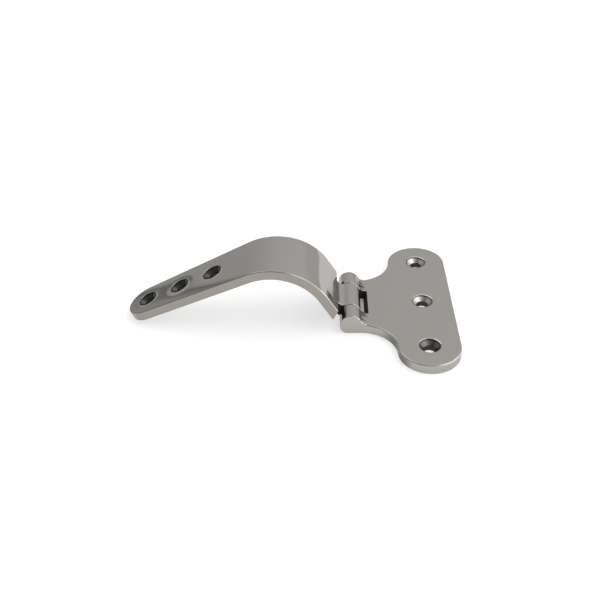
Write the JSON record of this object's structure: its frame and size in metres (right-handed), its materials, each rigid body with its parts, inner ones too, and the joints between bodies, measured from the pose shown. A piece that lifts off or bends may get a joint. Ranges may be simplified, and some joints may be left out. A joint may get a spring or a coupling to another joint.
{
  "type": "bent strap hinge",
  "caption": "Tee leaf and long strap leaf with a large near-right-angle bend, pinned together at a short knuckle, both drilled for countersunk screws.",
  "frame": {"origin": "axis of the middle screw hole of the tee leaf, on the tee's mounting face", "axes": "+X from the strap's tip towards the tee, +Y along the pin and the tee's bar, +Z out of the tee's mounting face towards the screw heads"},
  "size_m": [0.1646, 0.102, 0.0352],
  "materials": {
    "polished_leaves": "mirror-polished stainless steel",
    "pin_steel": "stainless steel, ends polished flush with the knuckles"
  },
  "bodies": {
    "tee": {"tee_leaf": "polished_leaves", "hinge_pin": "pin_steel"},
    "strap": {"strap_leaf": "polished_leaves"}
  },
  "joints": [
    {"name": "strap_swing", "type": "hinge", "parent": "tee", "child": "strap", "pos_m": [-0.0368, 0, 0.0053], "axis": [0, 1, 0], "range_deg": [-148, 125]}
  ]
}
